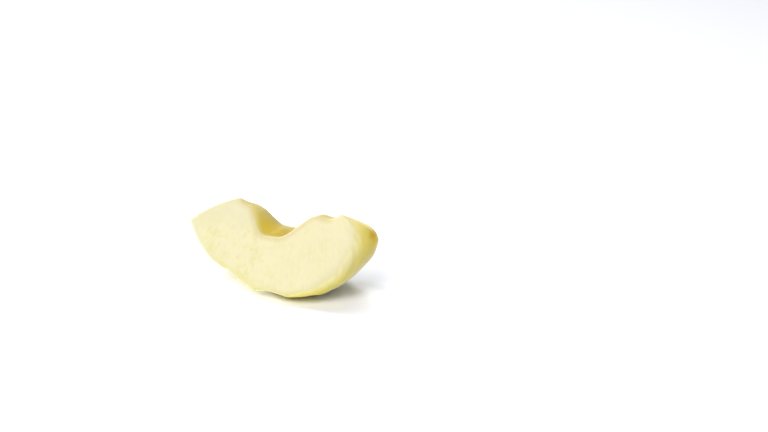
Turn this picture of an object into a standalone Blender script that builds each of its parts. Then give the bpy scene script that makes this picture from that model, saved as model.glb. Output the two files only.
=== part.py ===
"""A peeled and cored apple slice, lying on its peeled back with the core notch on top.

Frame: +X runs along the apple's core line from the stem end to the blossom end, +Y to the
back, +Z up. The origin is at the middle of the bounding box, on the surface it rests on.
"""
import math

import bmesh
import bpy
from mathutils import Vector

MM = 0.001
QUARTER_TURN = 0.5 * math.pi

# The slice. "Along" is a distance on the core line, from the edge where the stem cavity
# meets the core notch. "Depth" is a distance towards the peeled back, from the core line,
# where the planes of the two knife cuts meet.
WEDGE_ANGLE = math.radians(56.5)    # between the two knife cuts: about a sixth of an apple
CUT_DRIFT = 3.6 * MM                # the far cut face sits this much nearer the blossom end
DRIFT_DEPTH = 5.5 * MM              # where it does so in full; on the core line they meet
FAR_END_REACH = 1.3 * MM            # and its blossom end reaches this much further still,
FAR_END_LEAN = 0.07                 # more nearer the core line: this much for each unit of depth
SWEEP_STEPS = 16                    # facets from one cut face to the other

# Stem end: the slightly bowed wall of the stem cavity, from the shoulder's tip to the core.
SHOULDER_TIP = (-19.0 * MM, 12.1 * MM)
STEM_EDGE = (0.0 * MM, 0.8 * MM)
STEM_BOW = 1.25 * MM                # how far the wall stands proud of a straight line
STEM_POINTS = 12

# Core notch: a scoop with a steep wall on the stem side, under a lip that leans away from the
# stem edge, and a long slope on the other side.
NOTCH_LIP = 0.15                    # the lip's share of the notch's depth
NOTCH_LIP_END = 3.1 * MM
NOTCH_STEEP_START = 4.0 * MM
NOTCH_STEEP_FOOT = 12.8 * MM
NOTCH_SLOPE_FOOT = 18.6 * MM
NOTCH_END = 34.6 * MM
NOTCH_FLOOR_DEPTH = 13.1 * MM
NOTCH_POINTS = 36

# Ridge between the notch and the blossom end.
RIDGE_DEPTH = 2.2 * MM
RIDGE_DIP = 1.2 * MM
RIDGE_POINTS = 8

# Blossom end, a quarter ellipse from the crown, where the ridge turns down, to the end.
CROWN = (42.8 * MM, 0.8 * MM)
END = (51.4 * MM, 11.8 * MM)
END_POINTS = 12

# The smooth back under the peeler's strokes: two quarters that meet at the belly.
BELLY = (22.2 * MM, 34.8 * MM)
STEM_SIDE_POWER = 1.88              # 2 makes a quarter ellipse, and less a leaner one
STEM_SIDE_CENTRE = 4.8 * MM         # depth at which the stem side would turn back

# The peeler's strokes, from the shoulder's tip round to the blossom end. A stroke starts at
# its ridge. Flatness 0 follows the smooth back, and 1 is a straight chord to the next ridge.
STROKES = (
    # ridge, along; ridge's rise above the smooth back; flatness; hollow below the chord; points
    (SHOULDER_TIP[0], 0.0 * MM, 0.15, 0.0 * MM, 14),
    (-5.4 * MM, -0.3 * MM, 1.0, 0.3 * MM, 15),
    (14.2 * MM, 0.35 * MM, 1.0, 0.6 * MM, 11),
    (27.3 * MM, 0.15 * MM, 0.8, 0.0 * MM, 8),
    (37.4 * MM, 0.6 * MM, 0.9, 0.0 * MM, 8),
    (45.4 * MM, 0.0 * MM, 0.6, 0.0 * MM, 10),
)

# Unevenness of the hand-peeled back, as slow waves in depth.
WAVES = (
    # height, length along the core line, turn of the phase for each radian round the back
    (0.12 * MM, 19.0 * MM, 3.1),
    (0.07 * MM, 8.2 * MM, -5.3),
)
WAVES_FROM = 0.5 * BELLY[1]         # depth: nearer the core line there are no waves
WAVES_FULL = 0.8 * BELLY[1]

REST_CUT = 0.6 * MM                 # the belly is pressed flat by this much where it rests

# The edges round the cut faces: crisp from the knife, and on the near one rounded off by the
# peeler towards the blossom end.
CRISP_RADIUS = 0.35 * MM
SOFT_RADIUS = 2.3 * MM
SOFT_FROM = 30.0 * MM               # along: the edge starts to soften here
SOFT_FULL = 47.0 * MM
EDGE_STEPS = 4
EDGE_ROOM = 0.7                     # largest radius on a thin ridge, as a share of half of it

# The finish: moist, pale yellow flesh, shaded smooth except where two strokes meet sharply.
FLESH_COLOUR = (0.93, 0.87, 0.6, 1.0)
FLESH_ROUGHNESS = 0.45
SHARP_ANGLE = math.radians(30.0)


def smooth_step(start, end, value):
    """0 before start, 1 after end, and an even ramp between them."""
    share = min(max((value - start) / (end - start), 0.0), 1.0)
    return share * share * (3.0 - 2.0 * share)


def hump(share):
    """0 at both ends of a stretch and 1 at its middle."""
    return 4.0 * share * (1.0 - share)


def bowed_line(start, end, bow, count):
    """Points from start up to, but without, end, on a line that bows away from the back."""
    run = Vector(end) - Vector(start)
    side = Vector((run.y, -run.x)).normalized()
    points = []
    for step in range(count):
        share = step / count
        points.append(Vector(start) + run * share + side * bow * hump(share))
    return points


def stem_wall():
    return bowed_line(SHOULDER_TIP, STEM_EDGE, STEM_BOW, STEM_POINTS)


def core_notch():
    """The scoop left by the core: the depth of its surface at even distances along it."""
    points = []
    for step in range(NOTCH_POINTS):
        share = step / NOTCH_POINTS
        along = NOTCH_END * share
        lip = NOTCH_LIP * min(along / NOTCH_LIP_END, 1.0)
        steep = lip + (1.0 - NOTCH_LIP) * smooth_step(NOTCH_STEEP_START, NOTCH_STEEP_FOOT, along)
        slope = 1.0 - smooth_step(NOTCH_SLOPE_FOOT, NOTCH_END, along)
        rim = STEM_EDGE[1] + (RIDGE_DEPTH - STEM_EDGE[1]) * share
        points.append(Vector((along, rim + (NOTCH_FLOOR_DEPTH - rim) * steep * slope)))
    return points


def ridge():
    return bowed_line((NOTCH_END, RIDGE_DEPTH), CROWN, -RIDGE_DIP, RIDGE_POINTS)


def blossom_end():
    points = []
    for step in range(END_POINTS):
        turn = QUARTER_TURN * step / END_POINTS
        along = CROWN[0] + (END[0] - CROWN[0]) * math.sin(turn)
        depth = END[1] - (END[1] - CROWN[1]) * math.cos(turn)
        points.append(Vector((along, depth)))
    return points


def stem_side_reach():
    """From the belly to where the stem side would turn back, so that it meets the tip."""
    height = (SHOULDER_TIP[1] - STEM_SIDE_CENTRE) / (BELLY[1] - STEM_SIDE_CENTRE)
    share = (1.0 - height ** STEM_SIDE_POWER) ** (1.0 / STEM_SIDE_POWER)
    return (BELLY[0] - SHOULDER_TIP[0]) / share


def back_turn(along):
    """The angle at which smooth_back is at a distance along: 0 at the belly, + to the end."""
    if along >= BELLY[0]:
        return math.asin((along - BELLY[0]) / (END[0] - BELLY[0]))
    share = (BELLY[0] - along) / stem_side_reach()
    return -math.asin(share ** (0.5 * STEM_SIDE_POWER))


def smooth_back(turn):
    """A point of the back as it would be without the peeler's strokes."""
    if turn >= 0.0:
        along = BELLY[0] + (END[0] - BELLY[0]) * math.sin(turn)
        depth = END[1] + (BELLY[1] - END[1]) * math.cos(turn)
    else:
        rise = 2.0 / STEM_SIDE_POWER
        along = BELLY[0] - stem_side_reach() * math.sin(-turn) ** rise
        depth = STEM_SIDE_CENTRE + (BELLY[1] - STEM_SIDE_CENTRE) * math.cos(turn) ** rise
    return Vector((along, depth))


def peeled_back():
    """The back from the blossom end round the belly to the shoulder's tip, stroke by stroke."""
    points = []
    end = QUARTER_TURN
    end_rise = 0.0
    for ridge_along, ridge_rise, flatness, hollow, count in reversed(STROKES):
        start = back_turn(ridge_along)
        first = smooth_back(end) + Vector((0.0, end_rise))
        last = smooth_back(start) + Vector((0.0, ridge_rise))
        outward = Vector((last.y - first.y, first.x - last.x)).normalized()
        for step in range(count):
            share = step / count
            rise = end_rise + (ridge_rise - end_rise) * share
            smooth = smooth_back(end + (start - end) * share) + Vector((0.0, rise))
            dip = outward * hollow * hump(share)
            points.append(smooth.lerp(first.lerp(last, share), flatness) - dip)
        end = start
        end_rise = ridge_rise
    return points


def slice_outline():
    """The closed outline of the near cut face, as (along, depth)."""
    return stem_wall() + core_notch() + ridge() + blossom_end() + peeled_back()


def inward_normals(outline):
    """The direction into the flesh at each point of the outline."""
    normals = []
    for index, point in enumerate(outline):
        before = (point - outline[index - 1]).normalized()
        after = (outline[(index + 1) % len(outline)] - point).normalized()
        run = before + after
        normals.append(Vector((-run.y, run.x)).normalized())
    return normals


def edge_radius(point, far):
    """The radius of a cut face's edge at a point of the outline."""
    soft = 0.0 if far else smooth_step(SOFT_FROM, SOFT_FULL, point.x)
    radius = CRISP_RADIUS + (SOFT_RADIUS - CRISP_RADIUS) * soft
    return min(radius, EDGE_ROOM * point.y * math.sin(0.5 * WEDGE_ANGLE))


def swept_point(along, depth, share):
    """A point of the outline turned about the core line: share 0 is near, and 1 is far."""
    turn = (share - 0.5) * WEDGE_ANGLE
    reach = FAR_END_REACH + FAR_END_LEAN * (END[1] - depth)
    far_end = reach * smooth_step(SOFT_FROM, END[0], along)
    drift = (CUT_DRIFT + far_end) * smooth_step(0.0, DRIFT_DEPTH, depth)
    return Vector((along + drift * share, depth * math.sin(turn), -depth * math.cos(turn)))


def edge_ring(outline, normals, turn, far):
    """One loop of a rounded edge: turn 0 lies in the cut face and 90 degrees on the side."""
    ring = []
    for point, normal in zip(outline, normals):
        radius = edge_radius(point, far)
        inset = point + normal * radius * (1.0 - math.sin(turn))
        share = radius * (1.0 - math.cos(turn)) / (inset.y * WEDGE_ANGLE)
        ring.append(swept_point(inset.x, inset.y, 1.0 - share if far else share))
    return ring


def side_ring(outline, share):
    """One loop between the two rounded edges."""
    ring = []
    for point in outline:
        near = edge_radius(point, False) / (point.y * WEDGE_ANGLE)
        far = edge_radius(point, True) / (point.y * WEDGE_ANGLE)
        ring.append(swept_point(point.x, point.y, near + (1.0 - near - far) * share))
    return ring


def lofted_wedge():
    """The closed slice: loops of the outline from the near cut face to the far one."""
    outline = slice_outline()
    normals = inward_normals(outline)
    edge_turns = [QUARTER_TURN * step / EDGE_STEPS for step in range(EDGE_STEPS)]
    rings = [edge_ring(outline, normals, turn, False) for turn in edge_turns]
    rings += [side_ring(outline, step / SWEEP_STEPS) for step in range(SWEEP_STEPS + 1)]
    rings += [edge_ring(outline, normals, turn, True) for turn in reversed(edge_turns)]

    mesh = bmesh.new()
    loops = [[mesh.verts.new(place) for place in ring] for ring in rings]
    for near, far in zip(loops, loops[1:]):
        for index in range(len(outline)):
            before = index - 1
            mesh.faces.new((near[before], near[index], far[index], far[before]))
    mesh.faces.new(loops[0])
    mesh.faces.new(loops[-1])
    bmesh.ops.recalc_face_normals(mesh, faces=list(mesh.faces))
    return mesh


def make_back_uneven(mesh):
    """Slow waves in depth, on the back only. They keep the cut faces flat."""
    for vert in mesh.verts:
        depth = math.hypot(vert.co.y, vert.co.z)
        turn = math.atan2(vert.co.y, -vert.co.z)
        rise = 0.0
        for height, length, twist in WAVES:
            rise += height * math.sin(2.0 * math.pi * vert.co.x / length + twist * turn)
        grown = 1.0 + rise * smooth_step(WAVES_FROM, WAVES_FULL, depth) / depth
        vert.co.y *= grown
        vert.co.z *= grown


def press_belly_flat(mesh):
    """Cut a small flat into the belly, and close it with one face."""
    lowest = min(vert.co.z for vert in mesh.verts)
    bmesh.ops.bisect_plane(
        mesh,
        geom=list(mesh.verts) + list(mesh.edges) + list(mesh.faces),
        plane_co=(0.0, 0.0, lowest + REST_CUT),
        plane_no=(0.0, 0.0, -1.0),
        clear_outer=True,
    )
    rim = [edge for edge in mesh.edges if edge.is_boundary]
    bmesh.ops.holes_fill(mesh, edges=rim, sides=0)


def centre_on_rest(mesh):
    """Move the slice so that its box's bottom centre is the origin."""
    low = Vector([min(vert.co[axis] for vert in mesh.verts) for axis in range(3)])
    high = Vector([max(vert.co[axis] for vert in mesh.verts) for axis in range(3)])
    middle = 0.5 * (low + high)
    bmesh.ops.translate(mesh, verts=list(mesh.verts), vec=(-middle.x, -middle.y, -low.z))


def flesh_material():
    material = bpy.data.materials.new("apple_flesh")
    material.use_nodes = True
    shader = material.node_tree.nodes["Principled BSDF"]
    shader.inputs["Base Color"].default_value = FLESH_COLOUR
    shader.inputs["Roughness"].default_value = FLESH_ROUGHNESS
    shader.inputs["Metallic"].default_value = 0.0
    return material


def build_slice(collection):
    mesh = lofted_wedge()
    make_back_uneven(mesh)
    press_belly_flat(mesh)
    centre_on_rest(mesh)
    data = bpy.data.meshes.new("apple_slice")
    mesh.to_mesh(data)
    mesh.free()
    data.materials.append(flesh_material())
    data.shade_smooth()
    data.set_sharp_from_angle(angle=SHARP_ANGLE)
    body = bpy.data.objects.new("apple_slice", data)
    collection.objects.link(body)


def main():
    for old in list(bpy.data.objects):
        bpy.data.objects.remove(old, do_unlink=True)
    collection = bpy.data.collections.new("Apple slice")
    bpy.context.scene.collection.children.link(collection)
    build_slice(collection)


main()
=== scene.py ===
import math

import bpy
import numpy as np
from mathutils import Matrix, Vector, kdtree


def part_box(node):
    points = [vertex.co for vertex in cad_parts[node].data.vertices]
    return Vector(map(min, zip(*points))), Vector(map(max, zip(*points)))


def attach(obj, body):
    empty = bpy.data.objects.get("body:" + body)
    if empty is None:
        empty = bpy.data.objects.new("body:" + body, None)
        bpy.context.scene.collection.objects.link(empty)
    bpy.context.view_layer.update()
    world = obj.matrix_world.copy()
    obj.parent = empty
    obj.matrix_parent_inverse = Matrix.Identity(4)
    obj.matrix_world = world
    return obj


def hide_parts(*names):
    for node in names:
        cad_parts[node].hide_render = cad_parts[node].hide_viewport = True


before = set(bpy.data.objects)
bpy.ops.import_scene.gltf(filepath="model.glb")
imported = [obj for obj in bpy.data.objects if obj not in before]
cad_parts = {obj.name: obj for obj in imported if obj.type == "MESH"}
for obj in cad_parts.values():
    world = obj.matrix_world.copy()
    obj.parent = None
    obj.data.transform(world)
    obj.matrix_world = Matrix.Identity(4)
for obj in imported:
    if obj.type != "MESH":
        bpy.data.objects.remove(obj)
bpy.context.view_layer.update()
print("frame loaded")

mm = 0.001
low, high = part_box("apple_slice")

# The apple's core line passes just over the slice. "Along" is counted on it from the notch's
# stem edge to the blossom end, "depth" away from it, out to the peeled back, and "turn" round
# it: 0 in the middle of the slice, below 0 to the near cut face and above 0 to the far one.
core = {
    "start": Vector((low.x + 18.91 * mm, 0.02 * mm, high.z + 0.78 * mm)),
    "halfWedge": math.radians(28.25),  # from the middle of the slice to either cut face
    "stemEdgeDepth": 0.8 * mm,
    "drift": 3.6 * mm,                 # the far cut face sits this much nearer the blossom end
    "driftDepth": 5.5 * mm,            # and does so in full from here down
    "notchEnd": 34.6 * mm,
    "crown": 42.8 * mm,                # where the top turns down to the blossom end
}

# what parts the cut faces, the back, the notch and the stem cavity from one another
parting = {
    "cutFacing": (0.86, 0.985),         # how squarely a spot faces as the knife's cuts do
    "backFacing": (-0.35, 0.15),        # how much it faces away from the core line
    "stemEdge": (-0.4 * mm, 1.2 * mm),  # along, from the stem cavity to the notch
    "knifeEdge": (0.01, 0.99),          # a spot that is a cut face by a share between these
}


def smoothStep(start, end, value):
    share = np.clip((value - start) / (end - start), 0.0, 1.0)
    return share * share * (3.0 - 2.0 * share)


def driftAt(depth, turn):
    # how far a spot has moved to the blossom end, from the near cut face to the far one
    share = 0.5 + 0.5 * turn / core["halfWedge"]
    return core["drift"] * share * smoothStep(0.0, core["driftDepth"], depth)


def corePoint(along, depth, turn):
    across = Vector((0.0, math.sin(turn), -math.cos(turn))) * depth
    return core["start"] + across + Vector((along + driftAt(depth, turn), 0.0, 0.0))


class SlicePlaces:
    # where each vertex is, and how much it belongs to a cut face, the back, the scoop or the stem
    def __init__(self, mesh):
        count = len(mesh.vertices)
        spots = np.empty(count * 3, np.float32)
        mesh.vertices.foreach_get("co", spots)
        facing = np.empty(count * 3, np.float32)
        mesh.vertices.foreach_get("normal", facing)
        self.spots = spots.reshape(-1, 3).astype(float)
        nx, ny, nz = facing.reshape(-1, 3).astype(float).T
        x, y, z = (self.spots - np.array(core["start"])).T
        self.depth = np.hypot(y, z)
        self.turn = np.arctan2(y, -z)
        self.along = x - driftAt(self.depth, self.turn)
        half = core["halfWedge"]
        self.toNear = self.depth * (half + self.turn)
        self.toFar = self.depth * (half - self.turn)

        nearFacing = -ny * math.cos(half) + nz * math.sin(half)
        farFacing = ny * math.cos(half) + nz * math.sin(half)
        outward = ny * np.sin(self.turn) - nz * np.cos(self.turn)
        self.cut = smoothStep(*parting["cutFacing"], np.maximum(nearFacing, farFacing))
        atEnd = smoothStep(core["notchEnd"], core["crown"], self.along)
        backing = np.maximum(smoothStep(*parting["backFacing"], outward), atEnd)
        self.peel = (1.0 - self.cut) * backing
        inside = (1.0 - self.cut) * (1.0 - backing)
        pastStem = smoothStep(*parting["stemEdge"], self.along)
        self.scoop = inside * pastStem
        self.stem = inside * (1.0 - pastStem)

    def distanceTo(self, mask):
        # from every vertex to the nearest one that is mostly in the mask
        chosen = np.nonzero(mask > 0.5)[0]
        tree = kdtree.KDTree(len(chosen))
        for index in chosen:
            tree.insert(self.spots[index], int(index))
        tree.balance()
        return np.array([tree.find(spot)[2] for spot in self.spots])


def pickOnly(piece):
    bpy.ops.object.select_all(action="DESELECT")
    piece.select_set(True)
    bpy.context.view_layer.objects.active = piece


def applyModifier(kind, **settings):
    # one modifier on the active object, applied at once
    bpy.ops.object.modifier_add(type=kind)
    modifier = bpy.context.object.modifiers[-1]
    for name, value in settings.items():
        setattr(modifier, name, value)
    bpy.ops.object.modifier_apply(modifier=modifier.name)


def relax(rounds, group=""):
    # smooth the active object, each vertex as far as the group says
    applyModifier("SMOOTH", factor=0.5, iterations=rounds, vertex_group=group)


def paintGroup(piece, name, weights):
    faintest = 0.003  # what is fainter stays out of the group
    group = piece.vertex_groups.new(name=name)
    for index in np.nonzero(weights > faintest)[0]:
        group.add([int(index)], float(min(weights[index], 1.0)), "REPLACE")
    return name


sliceShape = {
    "joined": 0.01 * mm,                   # corners of the solid nearer than this are one
    "voxel": 0.31 * mm,
    "smoothing": 4,
    # the notch's rims are rounded off this far in, and from the stem edge on
    "notchRimReach": 1.6 * mm,
    "notchRimFrom": (-1.0 * mm, 1.5 * mm),
    "nearRimSmoothing": 12,
    "farRimSmoothing": 8,
    # and so is the near edge of the back, from where along, and from how deep
    "blossomEdgeReach": 6.0 * mm,
    "blossomEdgeFrom": (24.0 * mm, core["notchEnd"]),
    "blossomEdgeDepth": (2.5 * mm, 9.0 * mm),
    "blossomEdgeSmoothing": 240,
    # size, height, detail and stretch of each relief
    "faceWaves": (9.0 * mm, 0.30 * mm, 1, (1.0, 1.0, 1.0)),     # left by the knife
    "faceGrain": (1.6 * mm, 0.07 * mm, 2, (0.6, 1.6, 1.6)),
    "backWaves": (7.0 * mm, 0.35 * mm, 1, (0.8, 1.6, 1.2)),
    "backGrooves": (1.5 * mm, 0.12 * mm, 2, (0.7, 5.0, 2.0)),   # dragged round it by the peeler
    "scoopWaves": (5.0 * mm, 0.30 * mm, 1, (1.0, 1.0, 1.0)),
    "scoopGrain": (1.3 * mm, 0.12 * mm, 2, (1.5, 0.6, 1.5)),
    # ledges where one stroke of the peeler ends in the next: place along, drop, and run-out
    "ledges": (
        (-5.4 * mm, 0.35 * mm, 3.5 * mm),
        (-1.1 * mm, 0.40 * mm, 3.0 * mm),
        (14.2 * mm, 0.30 * mm, 5.0 * mm),
        (27.3 * mm, 0.25 * mm, 4.0 * mm),
        (38.2 * mm, 0.45 * mm, 3.5 * mm),
        (43.6 * mm, 0.45 * mm, 3.0 * mm),
    ),
    "ledgeHeight": 0.5 * mm,               # what a full weight drops by
    "ledgeFace": (-0.15 * mm, 0.3 * mm),   # the drop itself, along, from the ledge's place
    "ledgeWander": 0.9 * mm,               # how far its place swings as it goes round the back
    "ledgeWanderWaves": (5.0, 2.1),        # waves for each radian, and shift from ledge to ledge
    "ledgeFade": (0.65, 0.35),             # middle and swing of its strength round the back
    "ledgeFadeWaves": (3.2, 0.6),          # waves and shift, as above
    # the fibres run straight down at the middle, along, and fan out on either side of it: at the
    # depth of the spread they are twice as far apart as on the core line
    "fibreMiddle": 27.0 * mm,
    "fibreSpread": 60.0 * mm,
    # the back is narrower nearer the core line than the first depth, so the shades follow faster
    # across it there, but no faster than they do at the second
    "shadeDepths": (13.0 * mm, 8.0 * mm),
}


def pushByClouds(piece, weights, name):
    # relief from a cloud pattern, drawn out along the axes by its stretch
    size, height, detail, stretch = sliceShape[name]
    texture = bpy.data.textures.new(name, "CLOUDS")
    texture.noise_scale = size
    texture.noise_depth = detail
    bpy.ops.object.empty_add(location=(0.0, 0.0, 0.0))
    grid = bpy.context.object
    grid.scale = stretch
    bpy.context.view_layer.update()
    pickOnly(piece)
    applyModifier(
        "DISPLACE",
        texture=texture,
        texture_coords="OBJECT",
        texture_coords_object=grid,
        vertex_group=paintGroup(piece, name, weights),
        mid_level=0.5,
        strength=height,
    )
    bpy.data.objects.remove(grid, do_unlink=True)


def ledgeWeights(places):
    # a ledge drops at once on the blossom side, comes back slowly, and wanders as it goes round
    faceStart, faceEnd = sliceShape["ledgeFace"]
    wanderWaves, wanderShift = sliceShape["ledgeWanderWaves"]
    fadeMiddle, fadeSwing = sliceShape["ledgeFade"]
    fadeWaves, fadeShift = sliceShape["ledgeFadeWaves"]
    fromNear = places.turn + core["halfWedge"]
    weights = np.zeros(len(places.along))
    for index, (start, drop, run) in enumerate(sliceShape["ledges"]):
        wander = sliceShape["ledgeWander"] * np.sin(wanderWaves * fromNear + wanderShift * index)
        past = places.along - start - wander
        strength = fadeMiddle + fadeSwing * np.cos(fadeWaves * fromNear + fadeShift * index)
        shape = smoothStep(faceStart, faceEnd, past) * (1.0 - smoothStep(faceEnd, run, past))
        weights = np.maximum(weights, shape * strength * drop / sliceShape["ledgeHeight"])
    return weights * places.peel


def pushLedges(piece, places):
    pickOnly(piece)
    group = paintGroup(piece, "ledges", ledgeWeights(places))
    applyModifier("DISPLACE", vertex_group=group, mid_level=0.0, strength=-sliceShape["ledgeHeight"])


def roundNotchRims(piece, places):
    reach = sliceShape["notchRimReach"]
    byScoop = 1.0 - smoothStep(0.5 * reach, reach, places.distanceTo(places.scoop))
    pastStem = smoothStep(*sliceShape["notchRimFrom"], places.along)
    for name, gap in (("nearRim", places.toNear), ("farRim", places.toFar)):
        weights = byScoop * pastStem * (1.0 - smoothStep(0.5 * reach, reach, gap))
        relax(sliceShape[name + "Smoothing"], paintGroup(piece, name, weights))


def roundBlossomEdge(piece, places):
    reach = sliceShape["blossomEdgeReach"]
    toEdge = np.where(places.peel > 0.5, places.toNear, places.distanceTo(places.peel))
    weights = 1.0 - smoothStep(0.4 * reach, reach, toEdge)
    byEnd = smoothStep(*sliceShape["blossomEdgeFrom"], places.along)
    weights *= byEnd * smoothStep(*sliceShape["blossomEdgeDepth"], places.depth)
    weights[places.turn > 0.0] = 0.0  # the far edge stays crisp
    relax(sliceShape["blossomEdgeSmoothing"], paintGroup(piece, "blossomEdge", weights))


def remeshedCopy(node):
    # an even, fine skin on the CAD solid's shape, with the knife's edges kept crisp
    piece = bpy.data.objects.new("slice_flesh", node.data.copy())
    bpy.context.scene.collection.objects.link(piece)
    piece.data.materials.clear()
    pickOnly(piece)
    bpy.ops.object.mode_set(mode="EDIT")
    bpy.ops.mesh.select_all(action="SELECT")
    bpy.ops.mesh.remove_doubles(threshold=sliceShape["joined"])
    bpy.ops.object.mode_set(mode="OBJECT")
    applyModifier("REMESH", mode="VOXEL", voxel_size=sliceShape["voxel"])
    relax(sliceShape["smoothing"])
    applyModifier("SHRINKWRAP", target=node)
    places = SlicePlaces(piece.data)
    least, most = parting["knifeEdge"]
    onEdge = (places.cut > least) & (places.cut < most)
    relax(sliceShape["smoothing"], paintGroup(piece, "open", np.where(onEdge, 0.0, 1.0)))
    roundNotchRims(piece, places)
    roundBlossomEdge(piece, places)
    return piece


def keepPlaces(piece, places):
    # what the material has to know about each spot, in millimetres where it is a length
    spread = 1.0 + places.depth / sliceShape["fibreSpread"]
    fullDepth, leastDepth = sliceShape["shadeDepths"]
    faster = np.maximum(fullDepth / np.maximum(places.depth, leastDepth), 1.0)
    kept = {
        "peel": places.peel,
        "scoop": places.scoop,
        "stem": places.stem,
        "along": places.along / mm,
        "depth": places.depth / mm,
        "toBack": places.distanceTo(places.peel) / mm,
        "toScoop": places.distanceTo(places.scoop) / mm,
        "toStem": places.distanceTo(places.stem) / mm,
        "toNear": places.toNear / mm,
        "shade": places.toNear * faster / mm,
        "toFar": places.toFar / mm,
        "fan": (places.along - sliceShape["fibreMiddle"]) / spread / mm,
        "round": places.depth * places.turn / mm,
    }
    for name, values in kept.items():
        attribute = piece.data.attributes.new(name, "FLOAT", "POINT")
        attribute.data.foreach_set("value", values.astype(np.float32))


def addRelief(piece, places):
    inside = places.scoop + places.stem
    pushByClouds(piece, places.cut, "faceWaves")
    pushByClouds(piece, places.cut, "faceGrain")
    pushByClouds(piece, places.peel, "backWaves")
    pushByClouds(piece, places.peel, "backGrooves")
    pushByClouds(piece, inside, "scoopWaves")
    pushByClouds(piece, inside, "scoopGrain")
    pushLedges(piece, places)
    for vertex in piece.data.vertices:
        vertex.co.z = max(vertex.co.z, 0.0)  # the small flat that it rests on stays flat


def makeSlice():
    piece = remeshedCopy(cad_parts["apple_slice"])
    places = SlicePlaces(piece.data)
    keepPlaces(piece, places)
    addRelief(piece, places)
    pickOnly(piece)
    bpy.ops.object.shade_smooth()
    print("slice shaped:", len(piece.data.vertices), "vertices")
    return piece


def fillRamp(ramp, stops):
    # the first stop stands at 0 and the last at 1
    for place, tint in stops[1:-1]:
        ramp.elements.new(place)
    for element, (place, tint) in zip(ramp.elements, stops):
        element.position = place
        element.color = tint


class Wire:
    # one socket of a material's nodes; sums on it add Math nodes
    def __init__(self, tree, socket=None):
        self.tree = tree
        self.socket = socket

    def node(self, kind, settings=None, values=None, output=0):
        made = self.tree.nodes.new("ShaderNode" + kind)
        for name, value in (settings or {}).items():
            if name == "stops":
                fillRamp(made.color_ramp, value)
            else:
                setattr(made, name, value)
        for name, value in (values or {}).items():
            if isinstance(value, Wire):
                self.tree.links.new(value.socket, made.inputs[name])
            else:
                made.inputs[name].default_value = value
        return Wire(self.tree, made.outputs[output])

    def maths(self, operation, first, second):
        return self.node("Math", {"operation": operation}, {0: first, 1: second})

    def __add__(self, other):
        return self.maths("ADD", self, other)

    def __radd__(self, other):
        return self.maths("ADD", other, self)

    def __sub__(self, other):
        return self.maths("SUBTRACT", self, other)

    def __rsub__(self, other):
        return self.maths("SUBTRACT", other, self)

    def __mul__(self, other):
        return self.maths("MULTIPLY", self, other)

    def __rmul__(self, other):
        return self.maths("MULTIPLY", other, self)

    def ramp(self, start, end):
        # 0 at start, 1 at end, smooth between, and flat outside
        return self.node(
            "MapRange", {"interpolation_type": "SMOOTHSTEP"},
            {"Value": self, "From Min": start, "From Max": end},
        )

    def tint(self, under, over):
        # colour under where this is 0, and colour over where it is 1; the Mix node's colour
        # sockets are inputs 6 and 7 and output 2
        return self.node("Mix", {"data_type": "RGBA"}, {0: self, 6: under, 7: over}, output=2)


def colour(red, green, blue):
    # a colour as a picture editor gives it, 0 to 255, for a shader
    def linear(part):
        part /= 255.0
        return part / 12.92 if part <= 0.04045 else ((part + 0.055) / 1.055) ** 2.4
    return (linear(red), linear(green), linear(blue), 1.0)


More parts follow.
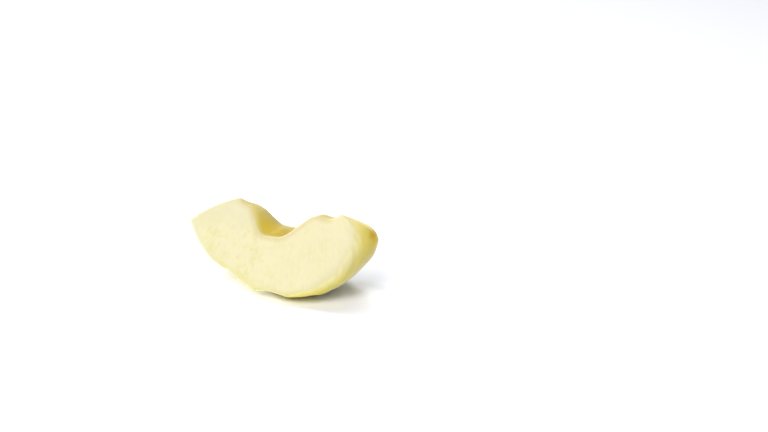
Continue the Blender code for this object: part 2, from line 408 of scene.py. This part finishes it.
fleshLook = {
    # a cut face and its mottle
    "cream": colour(221, 214, 175),
    "greenCream": colour(213, 207, 149),
    "warmCream": colour(224, 214, 179),
    "horn": colour(215, 209, 174),       # the corner between the notch and the stem cavity
    "stemRim": colour(207, 206, 172),
    # also laid on the notch's very rim, as painted shade that dims its highlight
    "notchRim": colour(208, 197, 152),
    # its rim by the back, by millimetres along: green at the stem end, and gone at the other
    "backRim": (
        (-19.0, colour(208, 212, 186)),
        (-12.0, colour(211, 212, 174)),
        (-5.0, colour(213, 209, 165)),
        (-1.5, colour(214, 207, 144)),
        (2.5, colour(215, 210, 160)),
        (13.0, colour(213, 206, 150)),
        (30.0, colour(215, 208, 158)),
        (44.0, colour(219, 212, 169)),
        (54.0, colour(222, 214, 172)),
    ),
    # the peeled back, by millimetres from the near cut face; its deep yellow is partly the flesh's own
    # and partly painted shade and yellow bounce light
    "back": (
        (0.0, colour(223, 215, 171)),
        (1.3, colour(229, 222, 170)),
        (2.5, colour(232, 223, 153)),
        (4.5, colour(228, 212, 120)),
        (7.0, colour(222, 204, 91)),
        (10.0, colour(212, 190, 66)),
        (15.0, colour(205, 183, 56)),
    ),
    "backPale": colour(221, 215, 156),   # towards the stem end, where the back keeps its own paler colour
    "backLow": colour(235, 219, 76),     # low on it
    "backUnder": colour(225, 219, 187),  # and under the slice
    "backStreak": colour(199, 177, 72),
    "crown": colour(204, 186, 98),
    "farRim": colour(228, 214, 162),     # painted highlight along the far cut edge, by the crown
    "farEdgeHighlight": colour(222, 213, 144),    # and the same painted highlight, fainter, from there down
    "bruise": colour(200, 165, 46),
    "bruisePlace": corePoint(52.2 * mm, 7.6 * mm, math.radians(21.0)),
    "bruiseReach": (2.8 * mm, 2.6 * mm, 3.6 * mm),
    "bruiseFade": (0.2, 1.0),            # shares of its reach between which it fades out
    # the notch and the stem cavity
    # the notch's golden tone is partly the flesh's own; deeper in and on its floor it is painted shade
    # and bounce light of the recess
    "scoopTop": colour(207, 187, 98),
    "scoopDeepShade": colour(217, 192, 78),
    "scoopFloorShade": colour(193, 168, 75),
    # painted light: paler inside the near rim, where the wall turns away from the lamps
    "scoopNearRimLight": colour(224, 211, 138),
    "scoopNearWidth": 3.2,               # in millimetres, and twice that on the notch's floor
    "scoopFarRim": colour(202, 189, 126),
    "stem": colour(207, 206, 162),
    # patterns: size in millimetres, scale on each axis, detail and roughness
    "mottle": (1.2, (1.0, 0.35, 1.0), 2.0, 0.5),
    "patches": (6.0, (1.0, 1.0, 1.0), 1.0, 0.5),
    "fibres": (0.75, (1.0, 0.06, 0.4), 1.0, 0.5),
    "streaks": (1.3, (1.0, 0.05, 0.05), 1.0, 0.5),
    "grain": (0.45, (1.0, 1.0, 1.0), 2.0, 0.7),
    # the values of a pattern at which its colour starts to show and shows in full
    "mottleShown": (0.43, 0.64),
    "fibresShown": (0.4, 0.75),
    "streaksShown": (0.45, 0.8),
    # the finish
    "roughness": 0.34,
    "mottleRoughness": 0.25,             # the most that the mottle adds
    "bumpHeight": 0.06 * mm,
    "bumpStrength": 0.6,
    "subsurface": 0.5,
    "subsurfaceScale": 2.0 * mm,
    "subsurfaceRadius": (1.0, 0.75, 0.35),
    "ior": 1.38,
    "specular": 0.4,
}

# Distances that the looks go by, in millimetres: what is measured, where it starts to count and
# where it counts in full.
fleshReach = {
    # on a cut face
    "offStemHalf": ("along", 4.0, 28.0),
    "pastHorn": ("along", 2.0, 14.0),
    "belowHorn": ("depth", 7.0, 18.0),
    "offBack": ("toBack", 0.3, 2.4),
    "offStem": ("toStem", 0.0, 1.3),
    "offScoop": ("toScoop", 0.0, 2.6),
    # on the back
    "belly": ("depth", 18.0, 30.0),
    "bellyEdge": ("toNear", 0.5, 4.0),
    "bellyBottom": ("depth", 28.0, 32.0),
    "offStemSide": ("along", 4.0, 32.0),
    "belowCrown": ("depth", 4.0, 11.0),
    "crownEdge": ("toNear", 1.0, 6.0),
    "under": ("depth", 11.0, 31.0),
    "underEdge": ("toNear", 3.0, 13.0),
    # the painted highlight along the far cut edge
    "farRimStart": ("toFar", 0.2, 0.5),
    "farRimEnd": ("toFar", 0.7, 1.2),
    "belowFarRim": ("depth", 4.5, 8.5),
    "offFarEdge": ("toFar", 0.0, 2.5),
    "farEdgeTop": ("depth", 9.0, 15.0),
    # in the notch
    "notchDeep": ("depth", 5.5, 10.5),
    "notchFloor": ("along", 10.5, 14.5),
    "offNearRim": ("toNear", 0.0, 0.7),
    "offFarRim": ("toFar", 0.6, 3.6),
}


def fleshMaterial():
    material = bpy.data.materials.new("apple flesh")
    material.use_nodes = True
    tree = material.node_tree
    shader = tree.nodes["Principled BSDF"]
    start = Wire(tree)
    place = start.node("TexCoord", output=3)

    def attribute(name):
        return start.node("Attribute", {"attribute_name": name}, output=2)  # its one number

    def attributes(*names):
        # three attributes as one vector
        return start.node("CombineXYZ", None, {axis: attribute(name) for axis, name in enumerate(names)})

    def reached(name, shift=None):
        # how far one of fleshReach has come, from 0 to 1, with its distance shifted by a pattern
        measure, nothing, full = fleshReach[name]
        distance = attribute(measure) if shift is None else attribute(measure) + shift
        return distance.ramp(nothing, full)

    def pattern(name, on=place, unit=mm):
        size, scale, detail, roughness = fleshLook[name]
        spot = start.node("Mapping", None, {"Vector": on, "Scale": scale})
        values = {"Vector": spot, "Scale": 1.0 / (size * unit), "Detail": detail, "Roughness": roughness}
        return start.node("TexNoise", None, values)

    def run(stops, value):
        # a run of colours over a length in millimetres
        first, last = stops[0][0], stops[-1][0]
        shares = [((distance - first) / (last - first), tint) for distance, tint in stops]
        return start.node("ValToRGB", {"stops": shares}, {0: (value - first) * (1.0 / (last - first))})

    alongFibres = attributes("fan", "depth", "round")
    roundBack = attributes("round", "along", "depth")
    mottle = pattern("mottle", alongFibres, 1.0)
    patches = pattern("patches")
    fibres = pattern("fibres", alongFibres, 1.0)
    streaks = pattern("streaks", roundBack, 1.0)
    grain = pattern("grain")

    # cut faces
    byStemEnd = 1.0 - reached("offStemHalf")
    face = (mottle * 0.6 + patches * 0.4).ramp(*fleshLook["mottleShown"]) * (0.45 + byStemEnd * 0.45)
    face = face.tint(fleshLook["cream"], fleshLook["greenCream"])
    face = (fibres.ramp(*fleshLook["fibresShown"]) * 0.7).tint(face, fleshLook["warmCream"])
    byHorn = (1.0 - reached("pastHorn")) * (1.0 - reached("belowHorn"))
    face = (byHorn * 0.8).tint(face, fleshLook["horn"])
    byBack = 1.0 - reached("offBack", mottle - 0.5)
    face = byBack.tint(face, run(fleshLook["backRim"], attribute("along")))
    face = (1.0 - reached("offStem")).tint(face, fleshLook["stemRim"])
    face = (1.0 - reached("offScoop")).tint(face, fleshLook["notchRim"])

    # peeled back, with its deep yellow partly painted shade and yellow bounce light, paler towards the
    # stem end
    back = run(fleshLook["back"], attribute("shade") + (patches - 0.5) * 2.0)
    byBelly = reached("belly") * (0.2 + reached("bellyEdge") * 0.45)
    byBelly = byBelly + reached("bellyBottom") * 0.3
    back = byBelly.tint(back, fleshLook["backLow"])
    back = (0.9 - reached("offStemSide") * 0.9).tint(back, fleshLook["backPale"])
    byCrown = (1.0 - reached("belowCrown")) * (0.3 + reached("crownEdge") * 0.5)
    back = byCrown.tint(back, fleshLook["crown"])
    back = (reached("under") * reached("underEdge") * 0.9).tint(back, fleshLook["backUnder"])
    back = (streaks.ramp(*fleshLook["streaksShown"]) * 0.3).tint(back, fleshLook["backStreak"])
    away = start.node("VectorMath", {"operation": "SUBTRACT"}, {0: place, 1: fleshLook["bruisePlace"]})
    away = start.node("VectorMath", {"operation": "DIVIDE"}, {0: away, 1: fleshLook["bruiseReach"]})
    away = start.node("VectorMath", {"operation": "LENGTH"}, {0: away}, output=1)
    bruised = 1.0 - (away + patches - 0.5).ramp(*fleshLook["bruiseFade"])
    back = bruised.tint(back, fleshLook["bruise"])
    # painted highlight: a pale line along the far cut edge, strongest by the crown
    farRimHighlight = (0.4 + reached("farRimStart") * 0.6) * (1.0 - reached("farRimEnd"))
    farRimHighlight = farRimHighlight * (1.0 - reached("belowFarRim") * 0.85)
    back = farRimHighlight.tint(back, fleshLook["farRim"])
    farEdgeHighlightShare = (1.0 - reached("offFarEdge")) * reached("farEdgeTop")
    back = farEdgeHighlightShare.tint(back, fleshLook["farEdgeHighlight"])

    # notch: its own golden tone, turned more golden deeper in and darker on its floor as painted shade
    # and bounce light of the recess
    scoop = reached("notchDeep", (mottle - 0.5) * 2.0)
    scoop = scoop.tint(fleshLook["scoopTop"], fleshLook["scoopDeepShade"])
    scoop = reached("notchFloor").tint(scoop, fleshLook["scoopFloorShade"])
    # painted light inside the near rim, where the wall turns away from the lamps
    fromNear = attribute("toNear") * (1.0 - reached("notchFloor") * 0.5)
    nearRimLight = 1.0 - fromNear.ramp(0.0, fleshLook["scoopNearWidth"])
    scoop = nearRimLight.tint(scoop, fleshLook["scoopNearRimLight"])
    # painted shade: the very rim is darkened to dim the highlight that its rounded edge catches
    scoop = (1.0 - reached("offNearRim")).tint(scoop, fleshLook["notchRim"])
    scoop = (1.0 - reached("offFarRim")).tint(scoop, fleshLook["scoopFarRim"])

    base = attribute("peel").tint(face, back)
    base = attribute("scoop").tint(base, scoop)
    base = attribute("stem").tint(base, fleshLook["stem"])
    tree.links.new(base.socket, shader.inputs["Base Color"])

    bump = start.node("Bump", None, {
        "Height": grain * 0.6 + fibres * 0.4,
        "Distance": fleshLook["bumpHeight"],
        "Strength": fleshLook["bumpStrength"],
    })
    tree.links.new(bump.socket, shader.inputs["Normal"])
    roughness = fleshLook["roughness"] + mottle * fleshLook["mottleRoughness"]
    tree.links.new(roughness.socket, shader.inputs["Roughness"])
    shader.inputs["Subsurface Weight"].default_value = fleshLook["subsurface"]
    shader.inputs["Subsurface Radius"].default_value = fleshLook["subsurfaceRadius"]
    shader.inputs["Subsurface Scale"].default_value = fleshLook["subsurfaceScale"]
    shader.inputs["IOR"].default_value = fleshLook["ior"]
    shader.inputs["Specular IOR Level"].default_value = fleshLook["specular"]
    return material


floorLook = {
    "side": 8.0,
    "gap": 0.05 * mm,                  # under the slice
    "colour": (0.93, 0.94, 0.99, 1.0),
    "roughness": 0.9,
    "specular": 0.1,
}


def makeFloor():
    bpy.ops.mesh.primitive_plane_add(size=floorLook["side"], location=(0.0, 0.0, -floorLook["gap"]))
    floor = bpy.context.object
    floor.name = "floor"
    material = bpy.data.materials.new("pale floor")
    material.use_nodes = True
    shader = material.node_tree.nodes["Principled BSDF"]
    shader.inputs["Base Color"].default_value = floorLook["colour"]
    shader.inputs["Roughness"].default_value = floorLook["roughness"]
    shader.inputs["Specular IOR Level"].default_value = floorLook["specular"]
    floor.data.materials.append(material)
    return floor


def viewDirection(azimuth, elevation):
    # from the slice towards the one who looks; azimuth 0 is the front, and 90 the blossom end
    azimuth, elevation = math.radians(azimuth), math.radians(elevation)
    return Vector((
        math.sin(azimuth) * math.cos(elevation),
        -math.cos(azimuth) * math.cos(elevation),
        math.sin(elevation),
    ))


studio = {
    # degrees round from the front and above the floor; side of the square; watts
    "frontBox": (0.0, 45.0, 0.5, 7.5),
    "leftBox": (-90.0, 12.0, 0.25, 10.0),
    "backBox": (180.0, 65.0, 0.5, 4.2),
}
studioDistance = 1.0
roomLight = 0.28


def makeLights():
    aim = Vector((0.0, 0.0, 0.5 * high.z))
    for name, (azimuth, elevation, side, watts) in studio.items():
        away = viewDirection(azimuth, elevation)
        turned = away.to_track_quat("Z", "Y").to_euler()
        bpy.ops.object.light_add(type="AREA", location=aim + away * studioDistance, rotation=turned)
        lamp = bpy.context.object
        lamp.name = name
        lamp.data.size = side
        lamp.data.energy = watts
    world = bpy.data.worlds.new("studio")
    world.use_nodes = True
    world.node_tree.nodes["Background"].inputs["Color"].default_value = (1.0, 1.0, 1.0, 1.0)
    world.node_tree.nodes["Background"].inputs["Strength"].default_value = roomLight
    bpy.context.scene.world = world


photoView = {
    "azimuth": 24.75,          # degrees round from the front, to the blossom end
    "elevation": 21.5,
    "lens": 85.0,
    "sensor": 36.0,
    "distance": 0.6921,        # from the lens to the notch's stem edge, straight into the view
    "nearest": 0.01,           # what is nearer the lens than this isn't seen
    "imageSize": (768, 432),
    "stemEdgePixel": (239.05, 197.75),
}


def makeCamera():
    back = viewDirection(photoView["azimuth"], photoView["elevation"])
    right = viewDirection(photoView["azimuth"] + 90.0, 0.0)
    up = back.cross(right)
    width, height = photoView["imageSize"]
    pixel = photoView["sensor"] / photoView["lens"] / width
    across = (photoView["stemEdgePixel"][0] - 0.5 * width) * pixel
    down = (photoView["stemEdgePixel"][1] - 0.5 * height) * pixel
    stemEdge = corePoint(0.0, core["stemEdgeDepth"], -core["halfWedge"])
    place = stemEdge + (back - right * across + up * down) * photoView["distance"]
    bpy.ops.object.camera_add(location=place, rotation=back.to_track_quat("Z", "Y").to_euler())
    camera = bpy.context.object
    camera.data.lens = photoView["lens"]
    camera.data.sensor_width = photoView["sensor"]
    camera.data.clip_start = photoView["nearest"]
    bpy.context.scene.camera = camera


makeCamera()
makeLights()
floor = makeFloor()
bpy.context.scene.view_settings.view_transform = "Standard"
print("camera, lights and floor made")

slicePiece = makeSlice()
slicePiece.data.materials.append(fleshMaterial())
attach(slicePiece, "root")
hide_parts("apple_slice")
print("slice finished")
